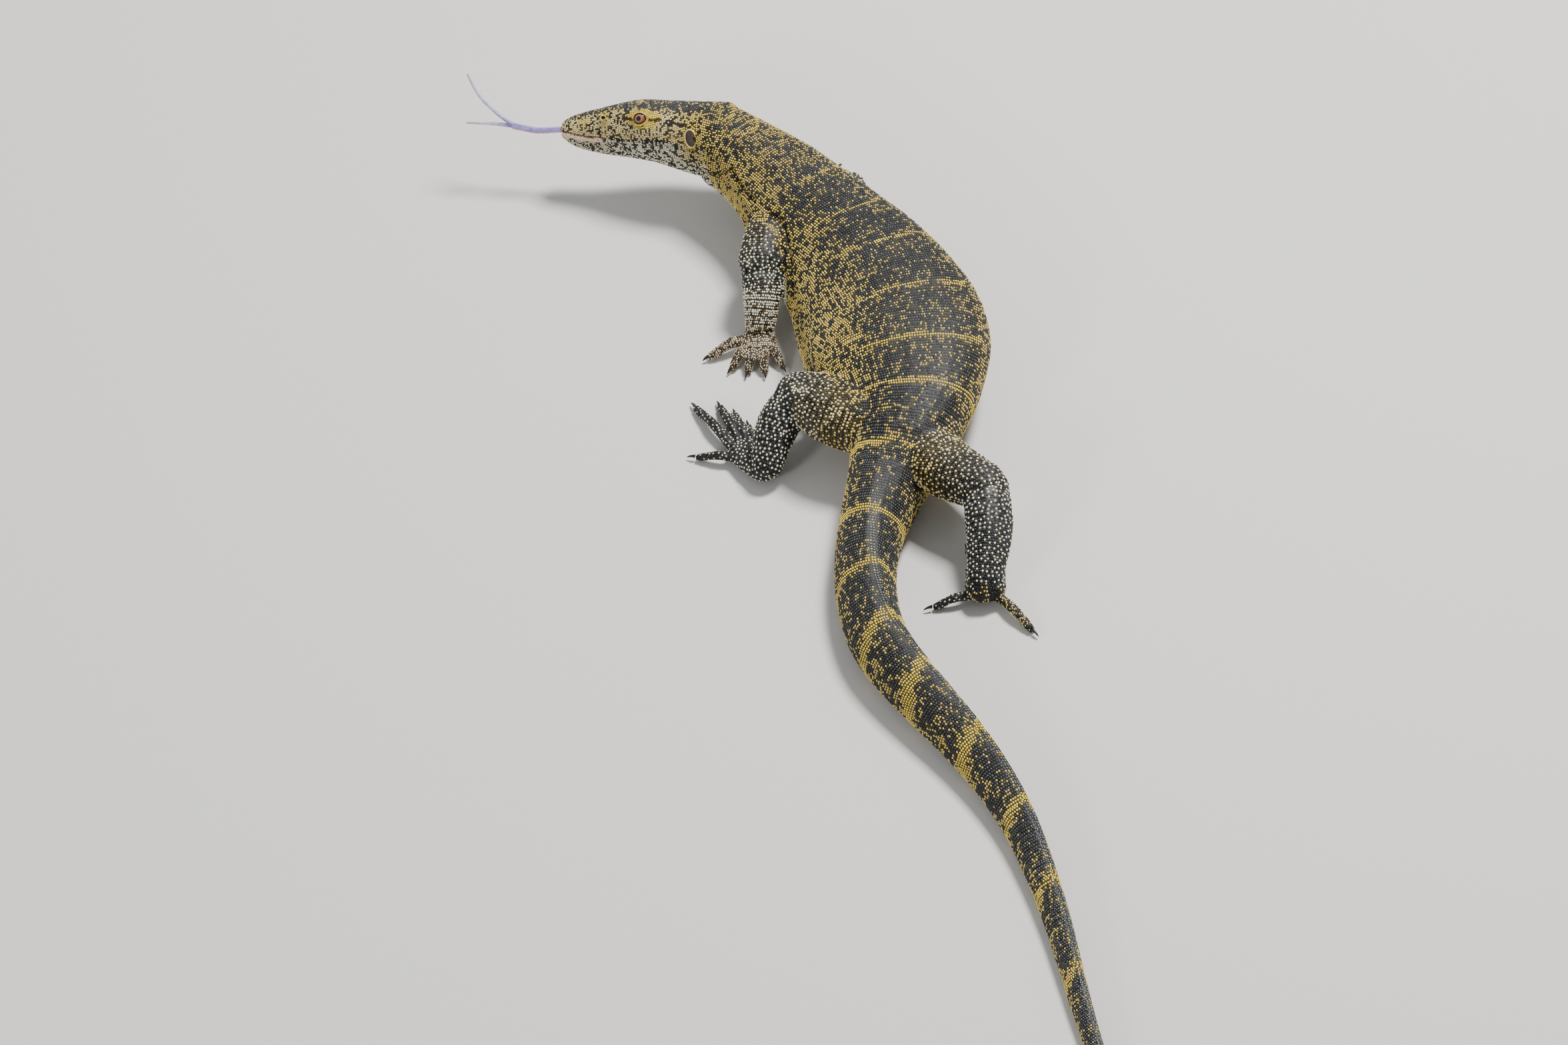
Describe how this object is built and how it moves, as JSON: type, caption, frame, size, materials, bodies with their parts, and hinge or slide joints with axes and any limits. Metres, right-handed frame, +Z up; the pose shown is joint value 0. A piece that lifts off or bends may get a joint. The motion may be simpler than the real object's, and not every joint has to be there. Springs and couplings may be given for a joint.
{
  "type": "nile monitor lizard",
  "caption": "Life-size still model of a Nile monitor resting on belly, feet and tail, head turned left, forked tongue out.",
  "frame": {"origin": "a point on the flat under the belly, on the floor, about the middle of the trunk", "axes": "+Z up from the floor, +Y towards the head end, -Y towards the tail, +X to the animal's right"},
  "size_m": [0.3327, 1.1965, 0.0752],
  "materials": {
    "skin": "dry beaded scales",
    "claw": "polished horn",
    "eye": "wet and clear",
    "tongue": "moist"
  },
  "bodies": {
    "root": {"head": "skin", "neck": "skin", "torso_front": "skin", "torso_rear": "skin", "tail_1": "skin", "tail_2": "skin", "tail_3": "skin", "tail_4": "skin", "tail_5": "skin", "leg_front_left_upper": "skin", "leg_front_left_lower": "skin", "leg_front_left_foot": "skin", "leg_front_right_upper": "skin", "leg_front_right_lower": "skin", "leg_front_right_foot": "skin", "leg_hind_left_upper": "skin", "leg_hind_left_lower": "skin", "leg_hind_left_foot": "skin", "leg_hind_right_upper": "skin", "leg_hind_right_lower": "skin", "leg_hind_right_foot": "skin", "leg_front_left_claw_1": "claw", "leg_front_left_claw_2": "claw", "leg_front_left_claw_3": "claw", "leg_front_left_claw_4": "claw", "leg_front_left_claw_5": "claw", "leg_front_right_claw_1": "claw", "leg_front_right_claw_2": "claw", "leg_front_right_claw_3": "claw", "leg_front_right_claw_4": "claw", "leg_front_right_claw_5": "claw", "leg_hind_left_claw_1": "claw", "leg_hind_left_claw_2": "claw", "leg_hind_left_claw_3": "claw", "leg_hind_left_claw_4": "claw", "leg_hind_left_claw_5": "claw", "leg_hind_right_claw_1": "claw", "leg_hind_right_claw_2": "claw", "leg_hind_right_claw_3": "claw", "leg_hind_right_claw_4": "claw", "leg_hind_right_claw_5": "claw", "eye_left": "eye", "eye_right": "eye", "tongue": "tongue"}
  },
  "joints": []
}
